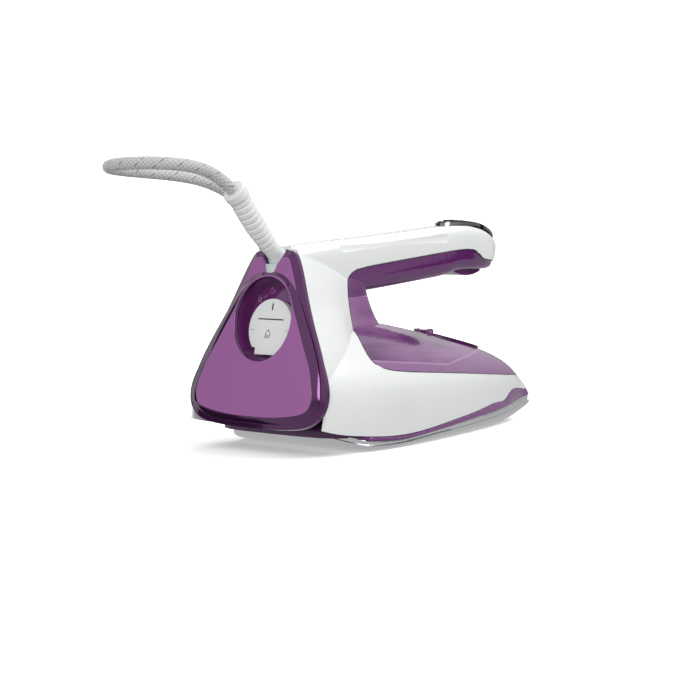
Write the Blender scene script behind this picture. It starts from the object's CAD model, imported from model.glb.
import math

import bmesh
import bpy
from mathutils import Matrix, Vector
from mathutils.bvhtree import BVHTree


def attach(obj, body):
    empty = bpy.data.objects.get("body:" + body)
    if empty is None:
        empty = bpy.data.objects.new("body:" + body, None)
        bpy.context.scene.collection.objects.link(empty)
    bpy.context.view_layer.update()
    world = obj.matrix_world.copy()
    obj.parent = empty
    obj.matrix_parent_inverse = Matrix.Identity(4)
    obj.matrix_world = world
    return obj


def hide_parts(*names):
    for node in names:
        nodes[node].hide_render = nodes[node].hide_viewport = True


bl_info = {
    "name": "Steam iron",
    "version": (1, 0, 0),
    "blender": (4, 5, 0),
    "location": "View3D > Sidebar > Iron",
    "description": "Dresses a domestic steam iron: moulded shells, dial, braided lead, sole and studio",
    "category": "Object",
}

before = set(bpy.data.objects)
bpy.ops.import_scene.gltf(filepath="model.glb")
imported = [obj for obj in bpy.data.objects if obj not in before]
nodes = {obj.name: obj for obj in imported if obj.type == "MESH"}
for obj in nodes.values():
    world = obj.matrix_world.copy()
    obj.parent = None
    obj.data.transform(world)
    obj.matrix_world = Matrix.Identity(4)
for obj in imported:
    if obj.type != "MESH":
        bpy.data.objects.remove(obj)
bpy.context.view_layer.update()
MM = 0.001

# The heel plate's frame: its foot, its lean, and how deep the dial and the well's floor lie
HEEL_FOOT = Vector((-157.0, 0.0, 16.5)) * MM
HEEL_LEAN = math.atan(0.2)
DIAL_DEPTH = 7.0
WELL_DEPTH = 13.5
BEVEL_DEPTH = 0.35 * MM

# The lead's route, as in the part's source, from the boot to the coil
CORD_ROUTE = [
    (-171.0, 0.0, 173.5),
    (-183.9, 0.2, 182.2),
    (-200.0, 3.0, 187.9),
    (-217.0, 13.5, 189.9),
    (-227.5, 31.5, 190.2),
    (-228.0, 52.5, 189.8),
    (-218.0, 71.0, 189.0),
    (-199.5, 82.5, 188.2),
    (-173.0, 86.5, 187.6),
    (-143.0, 87.5, 186.6),
    (-113.0, 88.0, 183.6),
    (-85.0, 88.6, 174.6),
    (-63.0, 89.4, 157.0),
    (-48.5, 90.4, 132.5),
    (-38.5, 91.4, 104.0),
    (-27.5, 92.4, 75.0),
    (-11.0, 92.8, 48.0),
    (12.0, 91.4, 26.0),
    (37.0, 85.4, 11.0),
    (58.0, 78.8, 5.0),
    (77.0, 74.6, 4.3),
    (96.0, 74.0, 4.3),
]
COIL_RISE = 9.2

# Where white meets violet, seen from the side, as in the part's source
SEAM = [
    (103.0, 124.6), (91.0, 126.2), (77.0, 127.6), (69.0, 131.6), (60.0, 134.7), (44.0, 134.3),
    (10.5, 130.7), (-23.3, 126.9), (-60.0, 122.6), (-72.0, 120.2), (-79.0, 115.0), (-82.5, 105.0),
    (-84.0, 94.0), (-86.5, 80.0), (-91.5, 69.0), (-91.5, 60.5), (-82.0, 54.6), (-58.0, 51.0),
    (-4.0, 46.9), (49.0, 42.7), (110.0, 37.6), (141.0, 35.0),
]


def tone(red, green, blue):
    """A colour on the usual 0 to 255 scale as the linear values that shaders take."""
    levels = []
    for level in (red, green, blue):
        share = level / 255.0
        levels.append(share / 12.92 if share <= 0.04045 else ((share + 0.055) / 1.055) ** 2.4)
    return tuple(levels)


# Settings

class IronColours(bpy.types.PropertyGroup):
    """Colours of the iron's mouldings."""

    shell: bpy.props.FloatVectorProperty(
        name="Shell", description="White of the housing", subtype="COLOR", size=3, min=0, max=1,
        default=tone(232, 235, 234))
    heel: bpy.props.FloatVectorProperty(
        name="Heel plate", description="Satin violet of the heel plate", subtype="COLOR", size=3, min=0,
        max=1,
        default=tone(170, 106, 171))
    heel_deep: bpy.props.FloatVectorProperty(
        name="Heel bevel", description="Glossy violet of the heel plate's bevel", subtype="COLOR", size=3,
        min=0, max=1,
        default=tone(92, 34, 96))
    clear: bpy.props.FloatVectorProperty(
        name="Tank", description="Violet of the clear tank and grip", subtype="COLOR", size=3, min=0, max=1,
        default=tone(128, 52, 134))
    well: bpy.props.FloatVectorProperty(
        name="Dial well", description="Dark violet round the dial", subtype="COLOR", size=3, min=0, max=1,
        default=tone(112, 46, 112))
    trim: bpy.props.FloatVectorProperty(
        name="Skirt", description="Violet of the skirt over the sole", subtype="COLOR", size=3, min=0, max=1,
        default=tone(116, 54, 122))
    lead: bpy.props.FloatVectorProperty(
        name="Lead", description="White of the lead's braid", subtype="COLOR", size=3, min=0, max=1,
        default=tone(206, 207, 209))
    mark: bpy.props.FloatVectorProperty(
        name="Marks", description="Grey of the dial's marks", subtype="COLOR", size=3, min=0, max=1,
        default=tone(84, 88, 88))


class IronSizes(bpy.types.PropertyGroup):
    """Sizes of the pieces that the frame doesn't carry."""

    cord_diameter: bpy.props.FloatProperty(
        name="Lead diameter", description="Thickness of the braided lead", default=8.5 * MM,
        min=5 * MM, max=12 * MM, unit="LENGTH", precision=4)
    cord_length: bpy.props.FloatProperty(
        name="Lead length", description="Whole length of the lead", default=2.4, min=1.5, max=4.0,
        unit="LENGTH")
    coil_radius: bpy.props.FloatProperty(
        name="Coil radius", description="Radius of the coil's outer turn", default=62 * MM, min=40 * MM,
        max=120 * MM, unit="LENGTH", precision=4)
    coil_pitch: bpy.props.FloatProperty(
        name="Coil pitch", description="Distance between turns that lie side by side", default=9.2 * MM,
        min=6 * MM, max=15 * MM, unit="LENGTH", precision=4)
    coil_turns: bpy.props.IntProperty(
        name="Coil turns", description="Turns in each of the coil's two layers", default=3, min=1, max=6)
    braid_pitch: bpy.props.FloatProperty(
        name="Braid pitch", description="Length of one crossing of the braid's strands", default=2.6 * MM,
        min=1 * MM, max=6 * MM, unit="LENGTH", precision=4)
    mark_rise: bpy.props.FloatProperty(
        name="Mark height", description="How far printed marks stand proud", default=0.12 * MM, min=0.02 * MM,
        max=0.5 * MM, unit="LENGTH", precision=5)
    seam_width: bpy.props.FloatProperty(
        name="Seam width", description="Width of the dark line between the mouldings", default=0.8 * MM,
        min=0.2 * MM, max=2 * MM, unit="LENGTH", precision=5)


class IronStudio(bpy.types.PropertyGroup):
    """Camera, floor and light."""

    lens: bpy.props.FloatProperty(
        name="Lens", description="Focal length on a 36 mm sensor", default=87.88, min=20, max=200)
    dip: bpy.props.FloatProperty(
        name="Dip", description="How far the camera looks down", default=math.radians(3.16), min=0,
        max=math.radians(60), subtype="ANGLE")
    floor: bpy.props.FloatProperty(
        name="Floor radius", description="Radius of the flat floor", default=2.6, min=1.6, max=6,
        unit="LENGTH")
    key: bpy.props.FloatProperty(
        name="Key light", description="Strength of the light above the nose", default=17.0, min=0, max=400,
        unit="POWER")
    fill: bpy.props.FloatProperty(
        name="Fill light", description="Strength of the light behind the heel", default=12.0, min=0, max=400,
        unit="POWER")
    rim: bpy.props.FloatProperty(
        name="Back light", description="Strength of the light on the far side", default=16.0, min=0, max=400,
        unit="POWER")
    sky: bpy.props.FloatProperty(
        name="Sky", description="Brightness of the soft light from all round", default=0.82, min=0, max=5)


# Shader arithmetic

class Signal:
    """A number running between shader nodes, with Python's arithmetic."""

    def __init__(self, finish, socket):
        self.finish = finish
        self.socket = socket

    def math(self, operation, *others):
        values = {0: self}
        for place, other in enumerate(others):
            values[place + 1] = other
        return self.finish.number("ShaderNodeMath", {"operation": operation}, values)

    def reflected(self, operation, other):
        return self.finish.number("ShaderNodeMath", {"operation": operation}, {0: other, 1: self})

    def __add__(self, other):
        return self.math("ADD", other)

    def __radd__(self, other):
        return self.reflected("ADD", other)

    def __sub__(self, other):
        return self.math("SUBTRACT", other)

    def __rsub__(self, other):
        return self.reflected("SUBTRACT", other)

    def __mul__(self, other):
        return self.math("MULTIPLY", other)

    def __rmul__(self, other):
        return self.reflected("MULTIPLY", other)

    def __truediv__(self, other):
        return self.math("DIVIDE", other)

    def sine(self):
        return self.math("SINE")

    def wrap(self):
        return self.math("FRACT")

    def size(self):
        return self.math("ABSOLUTE")

    def root(self):
        return self.math("SQRT")

    def ramp(self, low, high):
        """0 below low, 1 above high, smooth between."""
        values = {"Value": self, "From Min": low, "From Max": high}
        return self.finish.number("ShaderNodeMapRange", {"interpolation_type": "SMOOTHSTEP"}, values)


class Finish:
    """One procedural material and the nodes that make it."""

    def __init__(self, name, **constants):
        self.material = bpy.data.materials.new(name)
        self.material.use_nodes = True
        self.tree = self.material.node_tree
        self.tree.nodes.clear()
        self.shader = self.node("ShaderNodeBsdfPrincipled")
        self.node("ShaderNodeOutputMaterial", None, {"Surface": self.shader.outputs[0]})
        self.set(**constants)

    def node(self, kind, settings=None, values=None):
        made = self.tree.nodes.new(kind)
        for key, value in (settings or {}).items():
            if key == "stops":
                for place, colour in value[2:]:
                    made.color_ramp.elements.new(place)
                for element, (place, colour) in zip(made.color_ramp.elements, sorted(value)):
                    element.position = place
                    element.color = (*colour, 1.0)
            else:
                setattr(made, key, value)
        for key, value in (values or {}).items():
            self.feed(made.inputs[key], value)
        return made

    def feed(self, socket, value):
        if isinstance(value, Signal):
            self.tree.links.new(value.socket, socket)
        elif isinstance(value, bpy.types.NodeSocket):
            self.tree.links.new(value, socket)
        elif hasattr(value, "__len__") and socket.type == "RGBA" and len(value) == 3:
            socket.default_value = (*value, 1.0)
        else:
            socket.default_value = value

    def set(self, **values):
        for key, value in values.items():
            self.feed(self.shader.inputs[key.replace("_", " ")], value)

    def number(self, kind, settings, values, output=0):
        return Signal(self, self.node(kind, settings, values).outputs[output])

    def place(self):
        return self.node("ShaderNodeTexCoord").outputs["Object"]

    def axes(self, vector=None):
        split = self.node("ShaderNodeSeparateXYZ", None, {0: vector or self.place()})
        return [Signal(self, split.outputs[i]) for i in range(3)]

    def noise(self, scale, detail=3.0, roughness=0.5, stretch=None):
        vector = self.place()
        if stretch:
            vector = self.node("ShaderNodeMapping", None, {"Vector": vector, "Scale": stretch}).outputs[0]
        values = {"Vector": vector, "Scale": scale, "Detail": detail, "Roughness": roughness}
        return self.number("ShaderNodeTexNoise", None, values)

    def blend(self, share, first, second):
        mix = self.node("ShaderNodeMix", {"data_type": "RGBA"}, {0: share, 6: first, 7: second})
        return mix.outputs[2]

    def bump(self, height, distance, strength=1.0, normal=None):
        values = {"Height": height, "Distance": distance, "Strength": strength}
        if normal:
            values["Normal"] = normal
        return self.node("ShaderNodeBump", None, values).outputs[0]


def shaded(colour, share):
    return tuple(level * share for level in colour)


def moulded(name, colour, rough, grain=0.00002, coat=0.0, drift=0.05, **constants):
    """Moulded plastic: a faint ripple, fine grain, rubbed patches and a slow drift of its colour."""
    finish = Finish(name, **constants)
    cloud = finish.noise(14.0, 2.0)
    fine = finish.noise(1900.0, 2.0)
    ripple = finish.noise(60.0, 1.0)
    rub = finish.noise(45.0, 5.0, 0.65).ramp(0.52, 0.72)
    finish.set(
        Base_Color=finish.blend(cloud, shaded(colour, 1.0 - drift), shaded(colour, 1.0)),
        Roughness=rough + rub * 0.04 + fine * 0.03,
        Normal=finish.bump(fine * 0.6 + ripple * 2.0, grain, 0.5))
    if coat:
        finish.set(Coat_Weight=coat, Coat_Roughness=0.04)
    return finish


def shell_finish(colours):
    return moulded("shell_gloss", colours.shell, 0.2, coat=0.5, drift=0.015, IOR=1.5)


def heel_finish(colours):
    """Satin face with a fine pearl grain; the bevel round it is glossy and deeper."""
    finish = Finish("heel_satin", IOR=1.5)
    x, _, z = finish.axes()
    lean = math.cos(HEEL_LEAN)
    depth = (x - HEEL_FOOT.x) * lean - (z - HEEL_FOOT.z) * math.sin(HEEL_LEAN)
    edge = depth.ramp(0.05 * MM, BEVEL_DEPTH)
    pearl = finish.noise(2600.0, 2.0)
    cloud = finish.noise(9.0, 2.0)
    rub = finish.noise(38.0, 5.0, 0.7).ramp(0.55, 0.75)
    face = finish.blend(cloud, shaded(colours.heel, 0.94), shaded(colours.heel, 1.05))
    face = finish.blend(pearl.ramp(0.55, 0.75) * 0.25, face, tone(196, 150, 196))
    finish.set(
        Base_Color=finish.blend(edge, face, colours.heel_deep),
        Metallic=0.35 + edge * 0.3,
        Roughness=0.4 - edge * 0.3 + rub * 0.04,
        Coat_Weight=edge * 0.8,
        Coat_Roughness=0.03,
        Normal=finish.bump(pearl * (1.0 - edge), 0.00002, 0.5))
    return finish


def border_finish(colours):
    """High gloss of the border round the heel plate's field."""
    finish = Finish("heel_border", Coat_Weight=1.0, Coat_Roughness=0.02, IOR=1.5)
    fine = finish.noise(1200.0, 2.0)
    cloud = finish.noise(12.0, 2.0)
    finish.set(
        Base_Color=finish.blend(cloud, shaded(colours.heel_deep, 0.85), colours.heel_deep),
        Metallic=0.75,
        Roughness=0.08 + fine * 0.03,
        Normal=finish.bump(fine, 0.00001, 0.4))
    return finish


def field_finish(colours):
    """Satin violet with a fine pearl grain."""
    finish = Finish("heel_field", IOR=1.5)
    pearl = finish.noise(2600.0, 2.0)
    cloud = finish.noise(9.0, 2.0)
    rub = finish.noise(38.0, 5.0, 0.7).ramp(0.55, 0.75)
    face = finish.blend(cloud, shaded(colours.heel, 0.95), shaded(colours.heel, 1.04))
    finish.set(
        Base_Color=finish.blend(pearl.ramp(0.55, 0.75) * 0.22, face, tone(196, 150, 196)),
        Metallic=0.3,
        Roughness=0.36 + rub * 0.05,
        Normal=finish.bump(pearl, 0.00002, 0.5))
    return finish


def clear_finish(name, colour, rough, share):
    """Clear tinted moulding with a polished skin and faint flow lines."""
    finish = Finish(name, Transmission_Weight=share, IOR=1.46, Coat_Weight=0.6, Coat_Roughness=0.02)
    flow = finish.noise(30.0, 3.0, 0.5, (0.35, 1.0, 1.8))
    fine = finish.noise(900.0, 1.0)
    rub = finish.noise(50.0, 5.0, 0.65).ramp(0.55, 0.75)
    finish.set(
        Base_Color=finish.blend(flow, shaded(colour, 0.8), shaded(colour, 1.1)),
        Roughness=rough + rub * 0.04 + fine * 0.02,
        Normal=finish.bump(flow * 3.0 + fine * 0.3, 0.00003, 0.5))
    return finish


# The tank's crease: its lowest height, where along the iron, and how steeply it climbs each way
CREASE_FOOT = 52 * MM
CREASE_AT = 1 * MM
CREASE_CLIMB = 0.082


def tank_finish(colours):
    """Clear violet, darker above the crease where the tank is deep and satin below it."""
    finish = clear_finish("tank_clear", colours.clear, 0.05, 0.22)
    x, _, z = finish.axes()
    height = z - ((x - CREASE_AT).size() * CREASE_CLIMB + CREASE_FOOT)
    deep = height.ramp(-0.4 * MM, 0.9 * MM)
    line = 1.0 - (height - 0.3 * MM).size().ramp(0.2 * MM, 0.9 * MM)
    flow = finish.noise(26.0, 3.0, 0.5, (0.3, 1.0, 2.2))
    sheen = finish.noise(9.0, 2.0, 0.5, (0.5, 1.0, 2.0))
    low = finish.blend(sheen, tone(136, 78, 142), tone(158, 104, 162))
    high = finish.blend(flow.ramp(0.35, 0.65), tone(92, 34, 100), tone(160, 104, 164))
    body = finish.blend(deep, low, high)
    finish.set(
        Base_Color=finish.blend(line * 0.6, body, tone(196, 152, 198)),
        Roughness=0.24 - deep * 0.18 + sheen * 0.05)
    return finish


def metal(name, colour, rough, stretch, lines=0.4, stain=0.0):
    """Worked metal with fine lines along one way, and a slight bloom."""
    finish = Finish(name, Metallic=1.0)
    line = finish.noise(420.0, 3.0, 0.6, stretch)
    bloom = finish.noise(22.0, 4.0)
    finish.set(
        Base_Color=finish.blend(bloom.ramp(0.3, 0.8), colour, shaded(colour, 1.0 - stain)),
        Roughness=rough + line * 0.06 + bloom * 0.05,
        Normal=finish.bump(line, 0.00002, lines))
    return finish


def rubber(name, colour, rough=0.5):
    finish = Finish(name, Specular_IOR_Level=0.4)
    fine = finish.noise(2400.0, 3.0)
    dust = finish.noise(60.0, 5.0, 0.7).ramp(0.5, 0.8)
    finish.set(
        Base_Color=finish.blend(dust, colour, shaded(colour, 0.9)),
        Roughness=rough + fine * 0.1,
        Normal=finish.bump(fine, 0.00004, 0.5))
    return finish


def braid_finish(colours, sizes):
    """Two sets of strands crossing round the lead, with grey tracer threads among the white ones."""
    finish = Finish("lead_braid", Sheen_Weight=0.35, Sheen_Roughness=0.5, Specular_IOR_Level=0.25)
    spot = finish.node("ShaderNodeUVMap", {"uv_map": "UVMap"}).outputs[0]
    along, around, _ = finish.axes(spot)
    crossings = sizes.cord_length / sizes.braid_pitch
    strands = 8.0
    one = along * crossings + around * strands
    two = along * crossings - around * strands
    over = ((one * math.pi).sine() * (two * math.pi).sine()).size()
    yarn = ((one * math.pi * 6.0).sine() * 0.5 + 0.5) * 0.25
    tracer = ((one / strands * 2.0).wrap() - 0.5).size().ramp(0.42, 0.47)
    fleck = tracer * ((two / 3.0).wrap() - 0.5).size().ramp(0.2, 0.3)
    tint = finish.blend(over.ramp(0.0, 0.5), shaded(colours.lead, 0.72), colours.lead)
    finish.set(
        Base_Color=finish.blend(fleck * 0.75, tint, tone(120, 124, 128)),
        Roughness=0.85 - over * 0.15,
        Normal=finish.bump(over + yarn, 0.0004, 0.8))
    return finish


def printed(name, colour):
    finish = Finish(name, Specular_IOR_Level=0.4)
    grain = finish.noise(3000.0, 2.0)
    finish.set(
        Base_Color=finish.blend(grain.ramp(0.4, 0.7), colour, shaded(colour, 0.85)),
        Roughness=0.42 + grain * 0.1,
        Normal=finish.bump(grain, 0.00001, 0.4))
    return finish


# How far from the middle the floor starts to glow, and where it glows in full
PALE_FLOOR = (0.12, 0.7)


def backdrop_finish():
    """White paper that glows a little away from the iron."""
    finish = Finish("studio_paper", Specular_IOR_Level=0.1, Emission_Strength=1.0)
    fibre = finish.noise(300.0, 4.0)
    x, y, _ = finish.axes()
    far = (x * x + y * y).root().ramp(*PALE_FLOOR)
    finish.set(
        Base_Color=finish.blend(fibre, tone(246, 246, 246), tone(250, 250, 250)),
        Emission_Color=finish.blend(far, (0.22, 0.22, 0.22), (0.8, 0.8, 0.8)),
        Roughness=0.85 + fibre * 0.1)
    return finish


# Pieces

def dress(node, finish):
    """Gives a carried node its finish in every slot."""
    mesh = nodes[node].data
    if not mesh.materials:
        mesh.materials.append(finish.material)
    for place in range(len(mesh.materials)):
        mesh.materials[place] = finish.material


def add_object(name, data, finish, body):
    piece = bpy.data.objects.new(name, data)
    bpy.context.scene.collection.objects.link(piece)
    data.materials.append(finish.material)
    if body:
        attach(piece, body)
    return piece


def finished(name, bm, finish, body, smooth=True):
    """Closes a bmesh into a piece that rides on a body."""
    bmesh.ops.remove_doubles(bm, verts=bm.verts[:], dist=1e-7)
    bmesh.ops.recalc_face_normals(bm, faces=bm.faces[:])
    for face in bm.faces:
        face.smooth = smooth
    mesh = bpy.data.meshes.new(name)
    bm.to_mesh(mesh)
    bm.free()
    return add_object(name, mesh, finish, body)


# How far forward the rear of the sole and of the skirt is drawn
SOLE_REAR = -100 * MM
SOLE_SHARE = 0.6
SKIRT_REAR = -104 * MM
SKIRT_SHARE = 0.5
SKIRT_SQUEEZE = 0.2
CREASE = math.radians(32)


def sole_spot(at):
    if at.x > SOLE_REAR:
        return at
    return Vector((SOLE_REAR + (at.x - SOLE_REAR) * SOLE_SHARE, at.y, at.z))


def skirt_spot(at):
    if at.x > SKIRT_REAR:
        return at
    back = SKIRT_REAR - at.x
    inward = 1.0 - SKIRT_SQUEEZE * min(back / (40 * MM), 1.0)
    return Vector((SKIRT_REAR - back * SKIRT_SHARE, at.y * inward, at.z))


def redrawn(name, node, finish, spot):
    """A merged copy of a carried node with its rear drawn in, which stands for the node."""
    bm = bmesh.new()
    bm.from_mesh(nodes[node].data)
    bmesh.ops.remove_doubles(bm, verts=bm.verts[:], dist=1e-6)
    for vert in bm.verts:
        vert.co = spot(vert.co)
    for face in bm.faces:
        face.smooth = True
    mesh = bpy.data.meshes.new(name)
    bm.to_mesh(mesh)
    bm.free()
    mesh.set_sharp_from_angle(angle=CREASE)
    piece = add_object(name, mesh, finish, "iron")
    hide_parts(node)
    return piece


def on_heel(depth):
    """The frame of the heel plate at a depth: x to the viewer's right, y up the plate, z out of it."""
    up = Vector((math.sin(HEEL_LEAN), 0.0, math.cos(HEEL_LEAN)))
    inward = Vector((math.cos(HEEL_LEAN), 0.0, -math.sin(HEEL_LEAN)))
    right = Vector((0.0, -1.0, 0.0))
    at = HEEL_FOOT + inward * depth * MM
    turn = Matrix((right, up, -inward)).transposed().to_4x4()
    return Matrix.Translation(at) @ turn @ Matrix.Scale(MM, 4)


def stroke(bm, points, width, low, high, place, closed=False):
    """A raised line of round-ended bars through points on a plane, in millimetres."""
    ends = list(zip(points, points[1:] + points[:1])) if closed else list(zip(points, points[1:]))
    middle, tall = (low + high) / 2, high - low
    for a, b in ends:
        a, b = Vector((*a, 0)), Vector((*b, 0))
        run = b - a
        turn = Matrix.Rotation(math.atan2(run.y, run.x), 4, "Z")
        size = Matrix.Diagonal((run.length, width, tall, 1.0))
        centre = (a + b) / 2 + Vector((0, 0, middle))
        bmesh.ops.create_cube(bm, size=1.0, matrix=place @ Matrix.Translation(centre) @ turn @ size)
    for x, y in points:
        centre = place @ Matrix.Translation((x, y, middle))
        bmesh.ops.create_cone(
            bm, cap_ends=True, segments=16, radius1=width / 2, radius2=width / 2, depth=tall, matrix=centre)


def arc_points(x, y, radius, start, end, count):
    step = math.radians(end - start) / count
    first = math.radians(start)
    turns = [first + step * i for i in range(count + 1)]
    return [(x + radius * math.cos(turn), y + radius * math.sin(turn)) for turn in turns]


def coil_point(sizes, turn):
    """The coil's centre line: inward below, half a turn's climb, outward above."""
    start = Vector(CORD_ROUTE[-1]) * MM
    lead = Vector((sizes.cord_diameter, 0, 0))
    centre = start + lead + Vector((0, sizes.coil_radius, 0))
    angle = 2 * math.pi * turn - math.pi / 2
    climb = min(max((turn - sizes.coil_turns) / 0.5, 0.0), 1.0)
    inner = sizes.coil_radius - sizes.coil_pitch * sizes.coil_turns
    if turn <= sizes.coil_turns:
        radius = sizes.coil_radius - sizes.coil_pitch * turn
    elif climb < 1.0:
        radius = inner - sizes.coil_pitch * 0.5 * climb * (1.0 - climb)
    else:
        radius = inner + sizes.coil_pitch * (turn - sizes.coil_turns - 0.5)
    rise = COIL_RISE * MM * climb * climb * (3 - 2 * climb)
    return centre + Vector((radius * math.cos(angle), radius * math.sin(angle), rise))


COIL_STEPS = 20
LAST_SHARE = 0.125
TAIL_RUNS = ((8.5, 0.0, 0.0), (38.5, 1.0, 0.0), (70.5, 6.0, 2.0))


def lead_points(sizes):
    """The route's points, the coil's turns and the tail that ends at the plug."""
    points = [Vector(p) * MM for p in CORD_ROUTE]
    turns = 2 * sizes.coil_turns + LAST_SHARE
    count = int(round(turns * COIL_STEPS))
    points += [coil_point(sizes, turns * i / count) for i in range(count + 1)]
    way = coil_point(sizes, turns + 0.002) - coil_point(sizes, turns - 0.002)
    way.z = 0
    way.normalize()
    side = Vector((-way.y, way.x, 0))
    last = points[-1]
    points += [last + (way * run + side * off + Vector((0, 0, rise))) * MM for run, off, rise in TAIL_RUNS]
    return points


def nurbs(name, points, thick=0.0, around=3, along=4):
    curve = bpy.data.curves.new(name, "CURVE")
    curve.dimensions = "3D"
    curve.resolution_u = along
    curve.bevel_depth = thick
    curve.bevel_resolution = around
    curve.use_fill_caps = True
    spline = curve.splines.new("NURBS")
    spline.points.add(len(points) - 1)
    for point, at in zip(spline.points, points):
        point.co = (*at, 1.0)
    spline.order_u = 3
    spline.use_endpoint_u = True
    return curve


def as_mesh(curve, name):
    holder = bpy.data.objects.new(name, curve)
    bpy.context.scene.collection.objects.link(holder)
    bpy.context.view_layer.update()
    mesh = bpy.data.meshes.new_from_object(holder, depsgraph=bpy.context.evaluated_depsgraph_get())
    bpy.data.objects.remove(holder)
    mesh.name = name
    mesh.materials.clear()
    return mesh


# The sky's brightness from straight down, at 0, to straight up, at 1
SKY_LEVELS = ((0.0, 0.6), (0.4, 0.62), (0.5, 0.5), (0.56, 0.42), (0.66, 0.85), (1.0, 1.0))


# Where the camera stands and the level way that it looks
CAMERA_AT = Vector((-931.3, -782.4, 135.4)) * MM
CAMERA_WAY = Vector((0.7415, 0.6709, 0.0))
STUDIO_MIDDLE = Vector((0, 0, 0.07))

# Each light's place and width, and each dark card's place and size
KEY_LIGHT = ((0.9, -1.0, 1.4), 1.2)
FILL_LIGHT = ((-1.6, -0.9, 0.8), 1.0)
BACK_LIGHT = ((1.2, 1.3, 1.2), 1.2)
DARK_CARDS = {
    "dark_card_left": ((-0.62, 1.35, 0.35), 0.9, 1.1),
    "dark_card_low": ((-0.5, 0.7, -0.34), 0.42, 0.3),
    "dark_card_nose": ((1.05, -0.72, 0.12), 0.22, 0.5),
}


class IRON_OT_studio(bpy.types.Operator):
    """Make the camera, the floor with its curved backdrop, and the lights"""

    bl_idname = "iron.studio"
    bl_label = "Studio"

    def execute(self, context):
        studio = context.scene.iron_studio
        camera = bpy.data.cameras.new("camera")
        camera.lens = studio.lens
        camera.sensor_width = 36.0
        camera.clip_end = 50.0
        viewer = bpy.data.objects.new("camera", camera)
        context.scene.collection.objects.link(viewer)
        way = CAMERA_WAY.normalized() * math.cos(studio.dip) - Vector((0, 0, math.sin(studio.dip)))
        viewer.location = CAMERA_AT
        viewer.rotation_euler = way.to_track_quat("-Z", "Y").to_euler()
        context.scene.camera = viewer
        self.backdrop(studio)
        self.light("key", *KEY_LIGHT, studio.key)
        self.light("fill", *FILL_LIGHT, studio.fill)
        self.light("rim", *BACK_LIGHT, studio.rim)
        for name, (place, wide, tall) in DARK_CARDS.items():
            self.card(name, place, wide, tall)
        context.scene.world = self.sky(studio)
        context.scene.view_settings.view_transform = "Standard"
        return {"FINISHED"}

    def sky(self, studio):
        """Soft light that is brightest overhead and dimmer at the horizon."""
        world = bpy.data.worlds.new("studio_sky")
        world.use_nodes = True
        tree = world.node_tree
        ground = tree.nodes["Background"]
        ground.inputs["Strength"].default_value = studio.sky
        split = tree.nodes.new("ShaderNodeSeparateXYZ")
        tree.links.new(tree.nodes.new("ShaderNodeTexCoord").outputs["Generated"], split.inputs[0])
        ramp = tree.nodes.new("ShaderNodeValToRGB")
        for place, _ in SKY_LEVELS[2:]:
            ramp.color_ramp.elements.new(place)
        for element, (place, level) in zip(ramp.color_ramp.elements, SKY_LEVELS):
            element.position = place
            element.color = (level, level, level, 1.0)
        span = tree.nodes.new("ShaderNodeMapRange")
        span.inputs["From Min"].default_value = -1.0
        tree.links.new(split.outputs[2], span.inputs["Value"])
        tree.links.new(span.outputs[0], ramp.inputs[0])
        tree.links.new(ramp.outputs[0], ground.inputs["Color"])
        return world

    def backdrop(self, studio):
        bm = bmesh.new()
        bend = 1.2
        corner = studio.floor
        profile = [Vector((0.001, 0, 0)), Vector((corner * 0.5, 0, 0))]
        for step in range(13):
            angle = math.radians(90 * step / 12)
            profile.append(Vector((corner + bend * math.sin(angle), 0, bend - bend * math.cos(angle))))
        profile.append(Vector((corner + bend, 0, bend + 2.0)))
        verts = [bm.verts.new(p) for p in profile]
        edges = [bm.edges.new(pair) for pair in zip(verts, verts[1:])]
        bmesh.ops.spin(
            bm, geom=verts + edges, cent=(0, 0, 0), axis=(0, 0, 1), angle=2 * math.pi, steps=96,
            use_merge=True)
        rim = [v for v in bm.verts if v.co.xy.length < 0.01]
        bmesh.ops.pointmerge(bm, verts=rim, merge_co=(0, 0, 0))
        floor = finished("studio_floor", bm, backdrop_finish(), None)
        floor.visible_glossy = False
        floor.visible_diffuse = False

    def card(self, name, place, wide, tall):
        """A dark card beside the set, seen only in reflections."""
        bm = bmesh.new()
        aim = (STUDIO_MIDDLE - Vector(place)).to_track_quat("Z", "Y").to_matrix().to_4x4()
        size = Matrix.Diagonal((wide, tall, 1.0, 1.0))
        turn = Matrix.Translation(place) @ aim @ size
        bmesh.ops.create_grid(bm, x_segments=1, y_segments=1, size=0.5, matrix=turn)
        card = finished(name, bm, printed(name, (0.01, 0.008, 0.01)), None, False)
        for rays in ("camera", "diffuse", "shadow", "transmission"):
            setattr(card, "visible_" + rays, False)

    def light(self, name, place, size, power):
        lamp = bpy.data.lights.new(name, "AREA")
        lamp.shape = "DISK"
        lamp.size = size
        lamp.energy = power
        holder = bpy.data.objects.new(name, lamp)
        bpy.context.scene.collection.objects.link(holder)
        holder.location = place
        aim = STUDIO_MIDDLE - Vector(place)
        holder.rotation_euler = aim.to_track_quat("-Z", "Y").to_euler()


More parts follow.
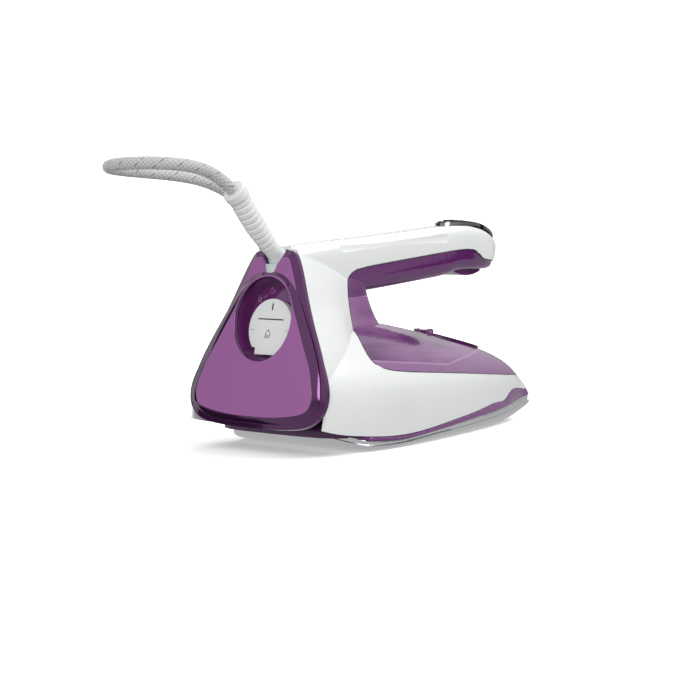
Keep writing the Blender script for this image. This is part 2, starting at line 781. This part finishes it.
class IRON_OT_lead(bpy.types.Operator):
    """Lay the braided lead from the boot to the coil and the plug"""

    bl_idname = "iron.lead"
    bl_label = "Lead"

    def execute(self, context):
        sizes, colours = context.scene.iron_sizes, context.scene.iron_colours
        points = lead_points(sizes)
        line = as_mesh(nurbs("lead_line", points, along=6), "lead_line")
        bpy.data.meshes.remove(line)
        tube = as_mesh(nurbs("lead_tube", points, sizes.cord_diameter / 2, around=3, along=6), "lead")
        if "UVMap" not in tube.uv_layers:
            raise RuntimeError("the lead's tube has no map for its braid")
        for polygon in tube.polygons:
            polygon.use_smooth = True
        lead = add_object("lead_braided", tube, braid_finish(colours, sizes), "lead")
        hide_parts("power_cord", "cord_coil", "cord_tail")
        plug = ["plug_body", "plug_pin_left", "plug_pin_right"]
        dress("plug_body", moulded("plug_white", tone(226, 228, 228), 0.4, grain=0.00005))
        pins = metal("plug_nickel", (0.72, 0.71, 0.68), 0.18, (1, 1, 1))
        for name in plug[1:]:
            dress(name, pins)
        boot = rubber("boot_white", tone(232, 234, 233), 0.42)
        dress("cord_boot", boot)
        ball = rubber("ball_grey", tone(206, 214, 216), 0.38)
        dress("lead_ball", ball)
        dress("ball_socket", ball)
        return {"FINISHED"}


class IRON_OT_mouldings(bpy.types.Operator):
    """Finish the shell, the tank, the grip and the skirt"""

    bl_idname = "iron.mouldings"
    bl_label = "Mouldings"

    def execute(self, context):
        colours = context.scene.iron_colours
        dress("housing_shell", shell_finish(colours))
        dress("water_tank", tank_finish(colours))
        dress("grip_liner", clear_finish("grip_clear", colours.clear, 0.06, 0.45))
        skirt = moulded("skirt_violet", colours.trim, 0.25, coat=0.5)
        redrawn("skirt_drawn_in", "heat_skirt", skirt, skirt_spot)
        dress("filler_door", moulded("lid_violet", tone(84, 34, 88), 0.12, coat=0.8))
        dress("trigger", clear_finish("trigger_clear", tone(124, 66, 130), 0.08, 0.3))
        dress("handle_frame", moulded("frame_black", tone(58, 22, 60), 0.4))
        dress("spray_nozzle", moulded("nozzle_grey", tone(186, 188, 190), 0.3))
        return {"FINISHED"}


# The rear wall under the heel plate, along half its width and seen from above, and its foot and top
REAR_WALL = ((-136.0, 0.0), (-135.5, 24.0), (-133.5, 42.0), (-129.0, 52.0), (-121.0, 57.0))
REAR_WALL_SPAN = (10.5, 19.0)


class IRON_OT_rear(bpy.types.Operator):
    """Close the rear under the heel plate with a low wall"""

    bl_idname = "iron.rear"
    bl_label = "Rear wall"

    def execute(self, context):
        bm = bmesh.new()
        foot, top = REAR_WALL_SPAN
        way = [(x, -y) for x, y in reversed(REAR_WALL[1:])] + list(REAR_WALL)
        verts = [bm.verts.new(Vector((x, y, foot)) * MM) for x, y in way]
        edges = [bm.edges.new(pair) for pair in zip(verts, verts[1:])]
        grown = bmesh.ops.extrude_edge_only(bm, edges=edges)["geom"]
        raised = [item for item in grown if isinstance(item, bmesh.types.BMVert)]
        bmesh.ops.translate(bm, verts=raised, vec=(0, 0, (top - foot) * MM))
        bmesh.ops.recalc_face_normals(bm, faces=bm.faces[:])
        bmesh.ops.solidify(bm, geom=bm.faces[:], thickness=1.2 * MM)
        finish = moulded("rear_violet", shaded(context.scene.iron_colours.trim, 0.5), 0.3)
        finished("rear_wall", bm, finish, "iron")
        return {"FINISHED"}


class IRON_OT_heel(bpy.types.Operator):
    """Finish the heel plate, the dial and the well round it"""

    bl_idname = "iron.heel"
    bl_label = "Heel"

    def execute(self, context):
        colours = context.scene.iron_colours
        dress("heel_plate", heel_finish(colours))
        dress("dial_cup", moulded("well_violet", colours.well, 0.1, coat=1.0, IOR=1.5))
        dress("calc_dial", moulded("dial_white", tone(234, 236, 235), 0.35, grain=0.00003, drift=0.01))
        return {"FINISHED"}


# The heel plate's raised field, as half widths and heights up the plate, from the foot to the top
FIELD_FOOT = [(0.0, 2.9), (18.0, 3.0), (38.0, 4.9), (54.0, 11.2), (59.7, 19.0), (59.4, 28.0), (55.4, 42.0)]
FIELD_TOP = [(46.8, 59.5), (36.0, 78.0), (27.8, 91.0), (19.4, 99.4), (10.0, 104.2), (0.0, 105.4)]
INNER_FOOT = [(0.0, 7.4), (18.0, 7.6), (38.8, 9.9), (50.4, 13.6), (54.2, 21.2), (52.5, 30.0), (48.4, 42.0)]
INNER_TOP = [(41.6, 54.0), (33.6, 69.0), (27.6, 80.0), (23.2, 89.0), (16.8, 97.2), (9.0, 101.6), (0.0, 102.9)]
FIELD_MIDDLE = (0.0, 60.0)
FIELD_RISE = 1.3
WELL_MIDDLE = (0.0, 73.0)
WELL_HALF = (26.1, 28.5)
LIP_DEPTH = 1.6
FIELD_SIDES = 192


def curve_between(a, b, c, d, t):
    """The smooth curve through four points in line, at t of the way from the second to the third."""
    bend = 2 * a - 5 * b + 4 * c - d
    return 0.5 * (2 * b + (c - a) * t + bend * t * t + (3 * b - a - 3 * c + d) * t ** 3)


OUTLINE_STEPS = 12


def closed_outline(half):
    """A smooth ring through a right half and its mirror, as angle and radius about the field's middle."""
    ring = half + [(-x, y) for x, y in reversed(half[1:-1])]
    count = len(ring)
    reach = []
    for index in range(count):
        a, b, c, d = [Vector(ring[(index + off) % count]) for off in (-1, 0, 1, 2)]
        for step in range(OUTLINE_STEPS):
            off = curve_between(a, b, c, d, step / OUTLINE_STEPS) - Vector(FIELD_MIDDLE)
            reach.append((math.atan2(off.y, off.x), off.length))
    return sorted(reach)


def reach_at(reach, angle):
    for (a, low), (b, high) in zip(reach, reach[1:]):
        if a <= angle <= b:
            return low + (high - low) * (angle - a) / max(b - a, 1e-9)
    (a, low), (b, high) = reach[-1], (reach[0][0] + 2 * math.pi, reach[0][1])
    turned = angle if angle >= a else angle + 2 * math.pi
    return low + (high - low) * (turned - a) / max(b - a, 1e-9)


def well_reach(angle, grow=0.0):
    """How far the well's oval lies from the field's middle in a direction."""
    wide, tall = WELL_HALF[0] + grow, WELL_HALF[1] + grow
    drop = FIELD_MIDDLE[1] - WELL_MIDDLE[1]
    x, y = math.cos(angle), math.sin(angle)
    a = (x / wide) ** 2 + (y / tall) ** 2
    b = 2 * y * drop / tall ** 2
    c = (drop / tall) ** 2 - 1
    return (-b + math.sqrt(b * b - 4 * a * c)) / (2 * a)


def ring_of_edges(bm, place, depth, reach):
    """A ring of edges about the field's middle, at a depth into the plate."""
    made = bmesh.ops.create_circle(bm, segments=FIELD_SIDES, radius=1.0)["verts"]
    for vert in made:
        angle = math.atan2(vert.co.y, vert.co.x)
        far = reach(angle)
        x, y = far * math.cos(angle), far * math.sin(angle)
        vert.co = place @ Vector((FIELD_MIDDLE[0] + x, FIELD_MIDDLE[1] + y, -depth))
    return [e for e in bm.edges if e.verts[0] in made and e.verts[1] in made]


class IRON_OT_field(bpy.types.Operator):
    """Raise the heel plate's field, with its glossy border that runs up round the dial's well"""

    bl_idname = "iron.field"
    bl_label = "Heel field"

    def execute(self, context):
        colours = context.scene.iron_colours
        outer, inner = closed_outline(FIELD_FOOT + FIELD_TOP), closed_outline(INNER_FOOT + INNER_TOP)
        place = on_heel(0.0)
        border = [
            (0.15, lambda angle: reach_at(outer, angle)),
            (-0.1, lambda angle: reach_at(outer, angle) - 0.25),
            (-FIELD_RISE + 0.2, lambda angle: reach_at(inner, angle) + 0.5),
            (-FIELD_RISE, lambda angle: reach_at(inner, angle)),
        ]
        self.band("heel_border", border, border_finish(colours), place)
        field = [
            (-FIELD_RISE, lambda angle: reach_at(inner, angle)),
            (-FIELD_RISE, lambda angle: max(well_reach(angle, 0.5), reach_at(inner, angle) * 0.7)),
            (-FIELD_RISE, lambda angle: well_reach(angle, 0.45)),
        ]
        self.band("heel_field", field, field_finish(colours), place)
        lip = [
            (-FIELD_RISE, lambda angle: well_reach(angle, 0.45)),
            (-FIELD_RISE + 0.15, lambda angle: well_reach(angle, 0.1)),
            (-FIELD_RISE + 0.5, lambda angle: well_reach(angle)),
            (LIP_DEPTH, lambda angle: well_reach(angle)),
        ]
        self.band("well_lip", lip, border_finish(colours), place)
        return {"FINISHED"}

    def band(self, name, rings, finish, place):
        bm = bmesh.new()
        loops = [ring_of_edges(bm, place, depth, reach) for depth, reach in rings]
        for first, second in zip(loops, loops[1:]):
            bmesh.ops.bridge_loops(bm, edges=first + second)
        outward = place.to_3x3() @ Vector((0, 0, 1))
        for face in bm.faces:
            face.smooth = True
        bmesh.ops.recalc_face_normals(bm, faces=bm.faces[:])
        if sum(face.normal.dot(outward) * face.calc_area() for face in bm.faces) < 0:
            bmesh.ops.reverse_faces(bm, faces=bm.faces[:])
        mesh = bpy.data.meshes.new(name)
        bm.to_mesh(mesh)
        bm.free()
        add_object(name, mesh, finish, "iron")


class IRON_OT_sole(bpy.types.Operator):
    """Finish the sole plate and the casting above it"""

    bl_idname = "iron.sole"
    bl_label = "Sole"

    def execute(self, context):
        polished = metal("sole_polished", (0.78, 0.79, 0.8), 0.04, (0.05, 1.0, 1.0), 0.15)
        redrawn("sole_plate", "glide_plate", polished, sole_spot)
        casting = metal("casting_bright", (0.8, 0.81, 0.83), 0.08, (0.1, 1.0, 1.0), 0.2, 0.08)
        redrawn("sole_body", "sole_casting", casting, sole_spot)
        return {"FINISHED"}


class IRON_OT_panel(bpy.types.Operator):
    """Finish the control panel, its ring and its buttons"""

    bl_idname = "iron.panel"
    bl_label = "Panel"

    def execute(self, context):
        dress("control_panel", moulded("panel_black", (0.012, 0.012, 0.014), 0.06, coat=1.0))
        dress("panel_ring", metal("ring_chrome", (0.3, 0.28, 0.28), 0.06, (1, 1, 1), 0.1))
        key = moulded("button_black", (0.03, 0.03, 0.034), 0.2, coat=0.5)
        for name in ("steam_button", "spray_button", "temperature_button"):
            dress(name, key)
        return {"FINISHED"}


class IRON_OT_inside(bpy.types.Operator):
    """Finish what the housing holds"""

    bl_idname = "iron.inside"
    bl_label = "Inside"

    def execute(self, context):
        steel = metal("spring_steel", (0.6, 0.6, 0.61), 0.25, (1, 1, 1))
        for name in ("filler_pin", "trigger_pin", "trigger_spring", "steam_button_spring",
                     "spray_button_spring", "temperature_button_spring"):
            dress(name, steel)
        dress("heating_element", metal("element_dark", (0.3, 0.28, 0.27), 0.5, (1, 1, 1), 0.8, 0.3))
        dress("steam_chamber_cover", metal("cover_plain", (0.7, 0.7, 0.71), 0.35, (1, 1, 1), 0.5, 0.1))
        dress("control_board", moulded("board_green", tone(20, 92, 56), 0.35, grain=0.00006, drift=0.3))
        dress("calc_valve", metal("valve_brass", (0.74, 0.57, 0.26), 0.3, (1, 1, 1), 0.4, 0.2))
        dress("terminal_block", moulded("block_cream", tone(226, 222, 208), 0.5))
        dress("filler_seal", rubber("seal_grey", tone(190, 190, 192), 0.6))
        return {"FINISHED"}


class IRON_OT_marks(bpy.types.Operator):
    """Print the dial's marks and the small signs in its well"""

    bl_idname = "iron.marks"
    bl_label = "Marks"

    def execute(self, context):
        sizes, colours = context.scene.iron_sizes, context.scene.iron_colours
        rise = sizes.mark_rise / MM
        dark = printed("mark_grey", colours.mark)
        faint = printed("mark_faint", tone(186, 192, 188))
        pale = printed("mark_pale", tone(176, 134, 178))
        dial = on_heel(DIAL_DEPTH)
        bm = bmesh.new()
        stroke(bm, [(0, 81.0), (0, 84.4)], 1.0, -0.7, rise, dial)
        stroke(bm, [(-11.6, 74.2), (11.2, 74.0)], 0.9, -0.2, rise, dial)
        finished("dial_pointer", bm, dark, "dial", False)
        bm = bmesh.new()
        stroke(bm, [(-18.6, 66.6), (-14.6, 66.6)], 0.5, -0.2, rise, dial)
        stroke(bm, [(14.6, 66.6), (18.6, 66.6)], 0.5, -0.2, rise, dial)
        finished("dial_ticks", bm, faint, "dial", False)
        bm = bmesh.new()
        drop = [(-1.2, 67.0)] + [(-1.2 + x, 63.6 + y) for x, y in arc_points(0, 0, 2.1, 30, -210, 12)]
        stroke(bm, drop, 0.42, -0.2, rise, dial, True)
        stroke(bm, arc_points(-1.2, 63.6, 1.0, 200, 340, 6), 0.36, -0.2, rise, dial)
        stroke(bm, [(-4.2, 61.2), (-2.9, 62.6)], 0.36, -0.2, rise, dial)
        finished("dial_drop", bm, dark, "dial", False)
        well = on_heel(WELL_DEPTH)
        bm = bmesh.new()
        x, y = -19.4, 88.4
        body = [(x - 1.5, y - 1.3), (x + 1.5, y - 1.3), (x + 1.5, y + 1.0), (x - 1.5, y + 1.0)]
        stroke(bm, body, 0.6, -0.2, rise, well, True)
        stroke(bm, [(x, y - 0.5), (x, y + 0.2)], 0.5, -0.2, rise, well)
        hoop = [(x - 1.0, y + 1.0)] + arc_points(x, y + 1.9, 1.0, 180, 0, 8) + [(x + 1.0, y + 1.0)]
        stroke(bm, hoop, 0.45, -0.2, rise, well)
        stroke(bm, [(-16.2, 89.8), (-12.4, 91.6)], 0.35, -0.2, rise, well)
        x, y = -9.0, 94.4
        ring = [(x, y + 2.3)] + [(x + a, y + b) for a, b in arc_points(0, -0.3, 1.5, 30, -210, 10)]
        stroke(bm, ring, 0.4, -0.2, rise, well, True)
        stroke(bm, [(x + 2.6, y - 1.4), (x + 2.6, y + 1.0)], 0.4, -0.2, rise, well)
        finished("well_signs", bm, pale, "iron", False)
        return {"FINISHED"}


def smooth_line(points, share):
    """A smooth line through points, read at 0 to 1 of its way."""
    spans = len(points) - 1
    place = min(share * spans, spans - 1e-6)
    index = int(place)
    t = place - index
    around = [points[max(0, min(spans, index + off))] for off in (-1, 0, 1, 2)]
    a, b, c, d = [Vector(p) for p in around]
    return curve_between(a, b, c, d, t)


SEAM_STEPS = 150
SEAM_REACH = 0.1


class IRON_OT_seams(bpy.types.Operator):
    """Lay the thin dark line where the white shell meets the violet mouldings"""

    bl_idname = "iron.seams"
    bl_label = "Seams"

    def execute(self, context):
        sizes = context.scene.iron_sizes
        shell = nodes["housing_shell"].data
        others = [nodes["water_tank"].data, nodes["grip_liner"].data]
        trees = []
        for mesh in [shell] + others:
            corners = [v.co.copy() for v in mesh.vertices]
            faces = [list(p.vertices) for p in mesh.polygons]
            trees.append(BVHTree.FromPolygons(corners, faces))
        finish = moulded("seam_dark", tone(52, 18, 56), 0.2, coat=0.6)
        for side, name in ((-1, "seam_right"), (1, "seam_left")):
            points = []
            for step in range(SEAM_STEPS + 1):
                x, z = smooth_line(SEAM, step / SEAM_STEPS)
                start = Vector((x * MM, side * SEAM_REACH, z * MM))
                hits = [tree.ray_cast(start, Vector((0, -side, 0)))[0] for tree in trees]
                depths = [abs(hit.y) for hit in hits if hit and hit.y * side > 0.004]
                if depths:
                    points.append(Vector((x * MM, side * max(depths), z * MM)))
            if len(points) < SEAM_STEPS / 2:
                raise RuntimeError("the seam found no surface to lie on")
            curve = nurbs(name, points, sizes.seam_width / 2, around=1, along=1)
            mesh = as_mesh(curve, name)
            for polygon in mesh.polygons:
                polygon.use_smooth = True
            add_object(name, mesh, finish, "iron")
        return {"FINISHED"}


class IRON_PT_pieces(bpy.types.Panel):
    """Lists the iron's pieces in the sidebar"""

    bl_label = "Steam iron"
    bl_idname = "IRON_PT_pieces"
    bl_space_type = "VIEW_3D"
    bl_region_type = "UI"
    bl_category = "Iron"

    def draw(self, context):
        column = self.layout.column()
        for operator in OPERATORS:
            column.operator(operator.bl_idname)
        for group in ("iron_colours", "iron_sizes", "iron_studio"):
            settings = getattr(context.scene, group)
            for name in settings.__annotations__:
                column.prop(settings, name)


OPERATORS = (
    IRON_OT_studio,
    IRON_OT_lead,
    IRON_OT_mouldings,
    IRON_OT_rear,
    IRON_OT_heel,
    IRON_OT_field,
    IRON_OT_sole,
    IRON_OT_panel,
    IRON_OT_inside,
    IRON_OT_marks,
    IRON_OT_seams,
)
CLASSES = (IronColours, IronSizes, IronStudio) + OPERATORS + (IRON_PT_pieces,)


def register():
    for item in CLASSES:
        bpy.utils.register_class(item)
    bpy.types.Scene.iron_colours = bpy.props.PointerProperty(type=IronColours)
    bpy.types.Scene.iron_sizes = bpy.props.PointerProperty(type=IronSizes)
    bpy.types.Scene.iron_studio = bpy.props.PointerProperty(type=IronStudio)


def unregister():
    del bpy.types.Scene.iron_studio
    del bpy.types.Scene.iron_sizes
    del bpy.types.Scene.iron_colours
    for item in reversed(CLASSES):
        bpy.utils.unregister_class(item)


def main():
    register()
    bpy.ops.iron.studio()
    bpy.ops.iron.lead()
    bpy.ops.iron.mouldings()
    bpy.ops.iron.rear()
    bpy.ops.iron.heel()
    bpy.ops.iron.field()
    bpy.ops.iron.sole()
    bpy.ops.iron.panel()
    bpy.ops.iron.inside()
    bpy.ops.iron.marks()
    bpy.ops.iron.seams()


if __name__ == "__main__":
    main()
